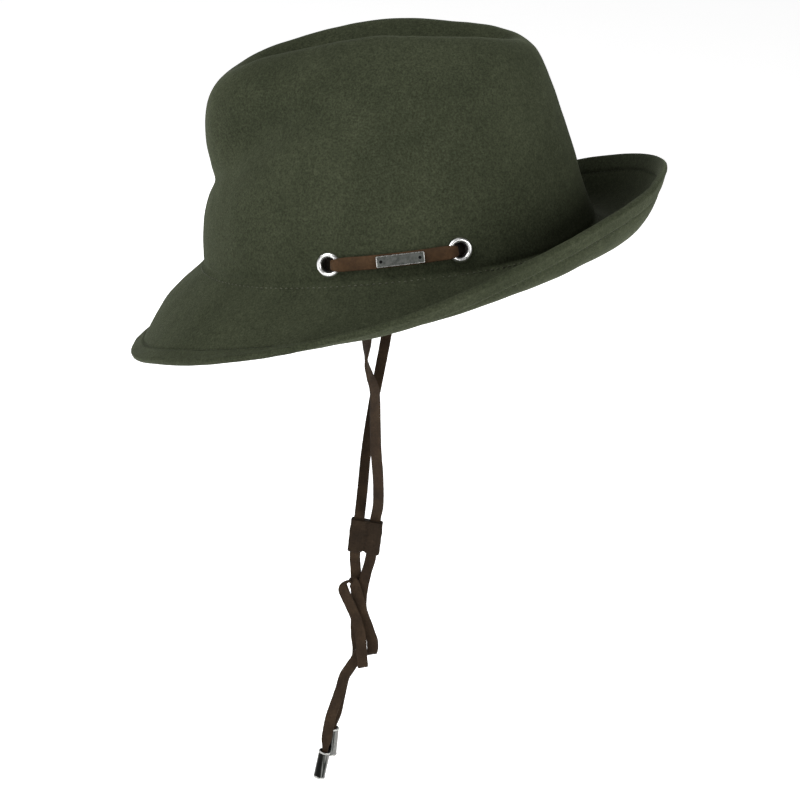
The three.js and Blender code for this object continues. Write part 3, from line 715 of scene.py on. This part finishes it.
def metal_tip(name, tip, material):
    """Ferrule with a bore for the lace's end and a slightly dished foot."""
    soft, foot = TIP_SOFT, TIP_LENGTH - TIP_DISH_DEEP
    profile = [(ON_AXIS, TIP_BORE_DEEP), (TIP_BORE_R, TIP_BORE_DEEP), (TIP_BORE_R, soft)]
    profile += arc(TIP_BORE_R + soft, soft, soft, 180, 270)
    profile += arc(TIP_R - soft, soft, soft, -90, 0)
    profile += arc(TIP_R - soft, TIP_LENGTH - soft, soft, 0, 90)
    profile += [(TIP_DISH_R, foot), (ON_AXIS, foot)]
    return turned_piece(name, profile, tip_place(tip), material, 48)


def tip_rims(name, tip, material):
    """Polished rims at the two ends of a metal tip."""
    soft, sunk = TIP_RIM_SOFT, TIP_R - TIP_RIM_SUNK
    rims = []
    for number, low in enumerate((TIP_RIM_INSET, TIP_LENGTH - TIP_RIM_HIGH - TIP_RIM_INSET)):
        high = low + TIP_RIM_HIGH
        profile = [(sunk, low)] + arc(TIP_RIM_R - soft, low + soft, soft, -90, 0)
        profile += arc(TIP_RIM_R - soft, high - soft, soft, 0, 90) + [(sunk, high)]
        rims.append(turned_piece(f"{name}_{number}", profile, tip_place(tip), material, 48))
    return rims


def plate_place(above):
    """Frame at the plate's middle, at a height over the felt."""
    return wall_basis(along_side(np.array(PLATE_ALONG), np.array(above), eyelet_span()))


def plate_rings(steps):
    """Rounded rectangles round the plate, each (inset, height over its back, corner)."""
    point, along, out, up = plate_place(PLATE_ABOVE)
    rings = []
    for inset, height, corner in steps:
        outline = rounded_rectangle(0.5 * PLATE_LENGTH - inset, 0.5 * PLATE_HEIGHT - inset, corner)
        rings.append([point + along * x + up * y + out * height for x, y in outline])
    return rings


def plate(material):
    """Body of the plate, whose front is its bare sunken field."""
    steps = [(PLATE_FIELD_INSET, height, PLATE_CORNER) for height in (0.0, PLATE_FIELD)]
    points, faces = grid(plate_rings(steps))
    return make_piece("bare_plate", points, outward(points, faces), material, smooth=False)


def plate_border(material):
    """Raised border round the field of the plate."""
    points, faces = grid(plate_rings(PLATE_BORDER), ends="loop")
    return make_piece("plate_border", points, outward(points, faces), material)


def plate_pins(material):
    """Two small pins that stand on the field near the plate's ends."""
    point, along, out, up = plate_place(PLATE_ABOVE + PLATE_FIELD)
    pins = []
    for name, way in (("plate_pin_front", -1), ("plate_pin_rear", 1)):
        spot = (point + along * way * (0.5 * PLATE_LENGTH - PIN_FROM_END), along, out, up)
        pins.append(turned_piece(name, PIN_OUTLINE, spot, material, 20))
    return pins


# Slider


def slider(material):
    """Flat keeper with two slots, soft corners, dimpled lines and an arched bottom edge."""
    levels = SLIDER_ENDS + list(np.linspace(1.0, SLIDER_HIGH - 1.0, SLIDER_ROWS))
    levels += [SLIDER_HIGH - end for end in reversed(SLIDER_ENDS)]
    rings = []
    top = SLIDER_Z + 0.5 * SLIDER_HIGH
    for level in levels:
        edge = min(level, SLIDER_HIGH - level)
        inset = SLIDER_SOFT * max(0.0, 1 - edge / SLIDER_SOFT_REACH) ** 2
        ring = []
        arch = SLIDER_ARCH_HIGH * (level / SLIDER_HIGH) ** 8
        for x, y in slider_outline(inset, level):
            rise = arch * math.exp(-((y / SLIDER_ARCH_WIDE) ** 2))
            ring.append((x, SLIDER_Y + y, top - level + rise))
        rings.append(ring)
    points, faces = grid(np.array(rings))
    piece = make_piece("lace_slider", points, outward(points, faces), material)
    cut_slots(piece)
    for face in piece.data.polygons:
        face.use_smooth = abs(face.normal.z) < 0.9
    return piece


def slider_outline(inset, level):
    """Outline of the keeper at a level, with a dimpled line pressed into both broad faces."""
    waver = SLIDER_WAVER * noise.noise(Vector((0.0, 4.0, level * 0.22)))
    half_thick, half_wide = 0.5 * SLIDER_THICK - inset, 0.5 * SLIDER_WIDE - inset + waver
    dimple = 0.5 - 0.5 * math.cos(2 * math.pi * level / SLIDER_DIMPLE_STEP)
    deep = SLIDER_LINE_DEEP + SLIDER_DIMPLE_DEEP * dimple
    r = SLIDER_CORNER - 0.5 * inset
    outline = []
    for x_way, y_way, start in CORNERS:
        for step in (0, 22, 45, 68, 90):
            angle = math.radians(start + step)
            x = x_way * (half_thick - r) + r * math.cos(angle)
            y = y_way * (half_wide - r) + r * math.sin(angle)
            outline.append((x, y))
        if start == 90 or start == 270:
            for y in np.linspace(half_wide - r, r - half_wide, 23)[1:-1] * y_way:
                dent = deep * math.exp(-((y / SLIDER_LINE_WIDE) ** 2))
                outline.append((x_way * (half_thick - dent), y))
    return outline


def cut_slots(piece):
    half_x, half_y = 0.5 * SLOT_THICK, 0.5 * SLOT_WIDE
    half_z = 0.5 * SLIDER_HIGH + SLOT_PAST_ENDS
    for way in (-1, 1):
        y = SLIDER_Y + way * SLOT_OFFSET
        cut_out(piece, [
            [(x_way * half_x, y + y_way * half_y, SLIDER_Z + z) for x_way, y_way, start in CORNERS]
            for z in (-half_z, half_z)
        ])


# Materials


def new_material(name):
    material = bpy.data.materials.new(name)
    material.use_nodes = True
    nodes = material.node_tree.nodes
    return material, nodes, material.node_tree.links, nodes["Principled BSDF"]


def spots(nodes, links, scale, detail=4.0, rough=0.6, stretch=None):
    """A noise texture over the piece's own coordinates, its bumps 1 / scale metres apart."""
    where = nodes.new("ShaderNodeTexCoord").outputs["Object"]
    if stretch:
        bend = nodes.new("ShaderNodeMapping")
        bend.inputs["Scale"].default_value = stretch
        links.new(where, bend.inputs["Vector"])
        where = bend.outputs["Vector"]
    texture = nodes.new("ShaderNodeTexNoise")
    texture.inputs["Scale"].default_value = scale
    texture.inputs["Detail"].default_value = detail
    texture.inputs["Roughness"].default_value = rough
    links.new(where, texture.inputs["Vector"])
    return texture.outputs["Fac"]


def ramp(nodes, links, value, stops):
    node = nodes.new("ShaderNodeValToRGB")
    while len(node.color_ramp.elements) < len(stops):
        node.color_ramp.elements.new(0.5)
    for element, (place, colour) in zip(node.color_ramp.elements, stops):
        element.position = place
        element.color = (*colour, 1)
    links.new(value, node.inputs["Fac"])
    return node.outputs["Color"]


def mix(nodes, links, kind, amount, first, second):
    node = nodes.new("ShaderNodeMix")
    node.data_type = "RGBA"
    node.blend_type = kind
    node.inputs["Factor"].default_value = amount
    links.new(first, node.inputs["A"])
    links.new(second, node.inputs["B"])
    return node.outputs["Result"]


def bump(nodes, links, layers, shader):
    """Stacks bump layers, each (height, strength, depth in metres), on a shader."""
    normal = None
    for height, strength, depth in layers:
        node = nodes.new("ShaderNodeBump")
        node.inputs["Strength"].default_value = strength
        node.inputs["Distance"].default_value = depth
        links.new(height, node.inputs["Height"])
        if normal:
            links.new(normal, node.inputs["Normal"])
        normal = node.outputs["Normal"]
    links.new(normal, shader.inputs["Normal"])


def felt_material():
    material, nodes, links, shader = new_material("felt")
    cloudy = ramp(nodes, links, spots(nodes, links, 24, 3), [
        (0.32, (0.037, 0.0435, 0.024)),
        (0.68, (0.054, 0.062, 0.0355)),
    ])
    fibre = ramp(nodes, links, spots(nodes, links, 1000, 6, 0.75), [
        (0.38, (0.4, 0.4, 0.38)),
        (0.62, (1.0, 1.0, 1.0)),
    ])
    fleck = ramp(nodes, links, spots(nodes, links, 380, 4, 0.6), [
        (0.34, (0.76, 0.76, 0.74)),
        (0.66, (1.0, 1.0, 1.0)),
    ])
    colour = mix(nodes, links, "MULTIPLY", 1.0, mix(nodes, links, "MULTIPLY", 1.0, cloudy, fibre), fleck)
    links.new(colour, shader.inputs["Base Color"])
    shader.inputs["Roughness"].default_value = 0.95
    shader.inputs["Specular IOR Level"].default_value = 0.1
    shader.inputs["Sheen Weight"].default_value = 0.08
    shader.inputs["Sheen Roughness"].default_value = 0.5
    shader.inputs["Sheen Tint"].default_value = (0.75, 0.85, 0.55, 1)
    bump(nodes, links, [
        (spots(nodes, links, 1300, 5, 0.7), 0.4, 0.0005),
        (spots(nodes, links, 260, 3, 0.5), 0.3, 0.0008),
    ], shader)
    return material


def thread_material(name, dark, light):
    material, nodes, links, shader = new_material(name)
    tint = ramp(nodes, links, spots(nodes, links, 900, 2), [(0.3, dark), (0.7, light)])
    links.new(tint, shader.inputs["Base Color"])
    shader.inputs["Roughness"].default_value = 0.7
    shader.inputs["Specular IOR Level"].default_value = 0.2
    bump(nodes, links, [(spots(nodes, links, 2500, 2, 0.5, (1, 1, 4)), 0.4, 0.0002)], shader)
    return material


def leather_material(name, dark, mid, light, rough, grain=900):
    material, nodes, links, shader = new_material(name)
    broad = ramp(nodes, links, spots(nodes, links, 90, 4, 0.6), [(0.3, dark), (0.52, mid), (0.75, light)])
    nap = ramp(nodes, links, spots(nodes, links, grain, 5, 0.7), [
        (0.3, (0.6, 0.58, 0.56)),
        (0.7, (1.0, 1.0, 1.0)),
    ])
    links.new(mix(nodes, links, "MULTIPLY", 1.0, broad, nap), shader.inputs["Base Color"])
    shader.inputs["Roughness"].default_value = rough
    shader.inputs["Specular IOR Level"].default_value = 0.16
    bump(nodes, links, [
        (spots(nodes, links, grain, 5, 0.7), 0.5, 0.0004),
        (spots(nodes, links, 220, 3, 0.5), 0.35, 0.0006),
    ], shader)
    return material


def metal_material(name, colour, rough, wear):
    material, nodes, links, shader = new_material(name)
    tint = ramp(nodes, links, spots(nodes, links, 500, 4, 0.6), [
        (0.3, tuple(c * (1 - wear) for c in colour)),
        (0.6, colour),
    ])
    links.new(tint, shader.inputs["Base Color"])
    haze = nodes.new("ShaderNodeMapRange")
    haze.inputs["From Min"].default_value = 0.3
    haze.inputs["From Max"].default_value = 0.7
    haze.inputs["To Min"].default_value = rough
    haze.inputs["To Max"].default_value = rough + 0.12
    links.new(spots(nodes, links, 1200, 3), haze.inputs["Value"])
    links.new(haze.outputs["Result"], shader.inputs["Roughness"])
    shader.inputs["Metallic"].default_value = 1.0
    bump(nodes, links, [(spots(nodes, links, 1800, 3), 0.12, 0.0001)], shader)
    return material


def painted_reflection_metal(name, tip):
    """Painted reflection on a tip: dark streaks that run down it, mostly on its front half, and a lighter
    back half.
    """
    material, nodes, links, shader = new_material(name)
    places = nodes.new("ShaderNodeSeparateXYZ")
    links.new(nodes.new("ShaderNodeTexCoord").outputs["Object"], places.inputs["Vector"])
    # Slope from the tip's front to its back that paints the reflection lighter towards the back
    reflection_slope = nodes.new("ShaderNodeMapRange")
    reflection_slope.inputs["From Min"].default_value = (tip[1] - TIP_R) * MM
    reflection_slope.inputs["From Max"].default_value = (tip[1] + TIP_R) * MM
    reflection_slope.inputs["To Max"].default_value = REFLECTION_SLOPE
    links.new(places.outputs["Y"], reflection_slope.inputs["Value"])
    both = nodes.new("ShaderNodeMath")
    both.operation = "ADD"
    links.new(reflection_slope.outputs["Result"], both.inputs[0])
    links.new(spots(nodes, links, 700, 3, 0.6, (1, 1, 0.05)), both.inputs[1])
    painted_reflection_colour = ramp(nodes, links, both.outputs["Value"], REFLECTION_STOPS)
    wear = ramp(nodes, links, spots(nodes, links, 900, 3), [(0.3, (0.7, 0.7, 0.7)), (0.6, (1, 1, 1))])
    links.new(mix(nodes, links, "MULTIPLY", 1.0, painted_reflection_colour, wear), shader.inputs["Base Color"])
    shader.inputs["Metallic"].default_value = 1.0
    shader.inputs["Roughness"].default_value = 0.14
    bump(nodes, links, [(spots(nodes, links, 1800, 3), 0.12, 0.0001)], shader)
    return material


def floor_material():
    """White floor with a painted glow, least near the calm spot, which lights the hat from below and
    fills in its shadow on the floor.
    """
    material, nodes, links, shader = new_material("pale_glowing_floor")
    shader.inputs["Base Color"].default_value = (0.9, 0.9, 0.9, 1)
    shader.inputs["Roughness"].default_value = 1.0
    shader.inputs["Specular IOR Level"].default_value = 0.0
    shader.inputs["Emission Color"].default_value = (1, 1, 1, 1)
    distance = nodes.new("ShaderNodeVectorMath")
    distance.operation = "DISTANCE"
    distance.inputs[1].default_value = [v * MM for v in FLOOR_CALM]
    links.new(nodes.new("ShaderNodeTexCoord").outputs["Object"], distance.inputs[0])
    glow = nodes.new("ShaderNodeMapRange")
    glow.interpolation_type = "SMOOTHSTEP"
    glow.inputs["From Min"].default_value = FLOOR_GLOW_NEAR[1] * MM
    glow.inputs["From Max"].default_value = FLOOR_GLOW_FAR[1] * MM
    glow.inputs["To Min"].default_value = FLOOR_GLOW_NEAR[0]
    glow.inputs["To Max"].default_value = FLOOR_GLOW_FAR[0]
    links.new(distance.outputs["Value"], glow.inputs["Value"])
    links.new(glow.outputs["Result"], shader.inputs["Emission Strength"])
    return material


# Camera, floor and light


def aim(thing, target, roll=0.0):
    way = Vector(target) * MM - thing.location
    thing.rotation_mode = "QUATERNION"
    thing.rotation_quaternion = way.to_track_quat("-Z", "Y") @ Quaternion((0, 0, 1), roll)


def make_camera():
    data = bpy.data.cameras.new("camera")
    data.sensor_width = CAMERA_SENSOR
    data.lens = 0.5 * CAMERA_SENSOR / math.tan(0.5 * CAMERA_VIEW_ANGLE)
    data.clip_start, data.clip_end = 0.05, 20
    camera = bpy.data.objects.new("camera", data)
    camera.location = Vector(CAMERA_PLACE) * MM
    bpy.context.scene.collection.objects.link(camera)
    aim(camera, CAMERA_AIM, CAMERA_ROLL)
    bpy.context.scene.camera = camera


def make_floor():
    points = [(x * FLOOR_REACH, y * FLOOR_REACH, FLOOR_Z) for x, y, start in CORNERS]
    floor = make_piece("floor", points, [(0, 1, 2, 3)], floor_material(), smooth=False)


def area_light(name, place, size, power, target=(0, 0, 0)):
    data = bpy.data.lights.new(name, "AREA")
    data.shape = "RECTANGLE"
    data.size, data.size_y = size
    data.energy = power
    light = bpy.data.objects.new(name, data)
    light.location = Vector(place) * MM
    bpy.context.scene.collection.objects.link(light)
    aim(light, target)


def make_light():
    world = bpy.data.worlds.new("studio")
    world.use_nodes = True
    world.node_tree.nodes["Background"].inputs["Color"].default_value = (1, 1, 1, 1)
    world.node_tree.nodes["Background"].inputs["Strength"].default_value = WORLD_GLOW
    bpy.context.scene.world = world
    for name, place, size, power in SOFT_LIGHTS:
        area_light(name, place, size, power)
    bpy.context.scene.view_settings.view_transform = "Standard"


# The object

make_camera()

chin_leather = leather_material(
    "chin_leather", (0.019, 0.0105, 0.0052), (0.031, 0.0183, 0.0092), (0.046, 0.028, 0.0145), 0.8,
)
keeper_leather = leather_material(
    "keeper_leather", (0.013, 0.0075, 0.0035), (0.021, 0.0125, 0.006), (0.031, 0.019, 0.010), 0.8,
)
side_leather = leather_material(
    "side_leather", (0.040, 0.021, 0.0088), (0.061, 0.032, 0.0135), (0.083, 0.045, 0.020), 0.75, 700,
)
band_leather = leather_material(
    "band_leather", (0.016, 0.011, 0.007), (0.024, 0.018, 0.012), (0.034, 0.026, 0.018), 0.6,
)
bright_metal = metal_material("bright_metal", (0.85, 0.85, 0.84), 0.27, 0.12)
worn_metal = metal_material("worn_metal", (0.5, 0.5, 0.48), 0.22, 0.3)
plate_metal = metal_material("plate_metal", (0.14, 0.147, 0.136), 0.3, 0.5)
dark_metal = metal_material("dark_metal", (0.01, 0.01, 0.01), 0.4, 0.3)
felt = felt_material()
thread = thread_material("green_thread", (0.045, 0.05, 0.032), (0.085, 0.09, 0.062))
dark_thread = thread_material("dark_green_thread", (0.026, 0.03, 0.016), (0.04, 0.046, 0.027))
band_thread = thread_material("band_thread", (0.02, 0.016, 0.012), (0.035, 0.028, 0.02))

# The tips' colours carry a painted reflection: dark streaks at their front, lighter at their back
tip_left = metal_tip("tip_left_metal", TIP_LEFT, painted_reflection_metal("tip_left_painted_reflection", TIP_LEFT))
tip_right = metal_tip("tip_right_metal", TIP_RIGHT, painted_reflection_metal("tip_right_painted_reflection", TIP_RIGHT))
tip_left_rims = tip_rims("tip_left_rim", TIP_LEFT, worn_metal)
tip_right_rims = tip_rims("tip_right_rim", TIP_RIGHT, worn_metal)
keeper = slider(keeper_leather)
left_strand, left_path = chin_strand("left_strand", CHIN_LEFT, TIP_LEFT, chin_leather, 1)
right_strand, right_path = chin_strand("right_strand", CHIN_RIGHT, TIP_RIGHT, chin_leather, 3)

hat = felt_hat(felt)
band = sweatband(band_leather)
strap = side_lace(side_leather)
hidden = chin_hidden(chin_leather)
front_ring = eyelet_ring("front_eyelet_ring", EYELET_FRONT, bright_metal)
rear_ring = eyelet_ring("rear_eyelet_ring", EYELET_REAR, bright_metal)
bare_plate = plate(plate_metal)

replaced = [
    (hat, "felt_body", "felt"),
    (band, "sweatband", "band_leather"),
    (strap, "side_lace", "side_leather"),
    (hidden, "chin_lace_back", "chin_leather"),
    (left_strand, "chin_lace_left", "chin_leather"),
    (right_strand, "chin_lace_right", "chin_leather"),
    (keeper, "slider", "chin_leather"),
    (tip_left, "tip_left", "bright_metal"),
    (tip_right, "tip_right", "bright_metal"),
    (front_ring, "eyelet_front", "bright_metal"),
    (rear_ring, "eyelet_rear", "bright_metal"),
    (bare_plate, "plate", "plate_metal"),
]
for piece, node, slot in replaced:
    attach(piece, "root")
    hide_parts(node)

trims = [
    (foot_stitches(thread), "felt"),
    (welt_stitches("welt_stitches_upper", 1, dark_thread), "felt"),
    (welt_stitches("welt_stitches_under", -1, dark_thread), "felt"),
    (band_stitches(band_thread), "band_leather"),
]
trims += [(pin, "plate_metal") for pin in plate_pins(dark_metal)]
trims += [(plate_border(worn_metal), "plate_metal")]
trims += [(rim, "bright_metal") for rim in tip_left_rims + tip_right_rims]
for piece, slot in trims:
    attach(piece, "root")

make_floor()
make_light()
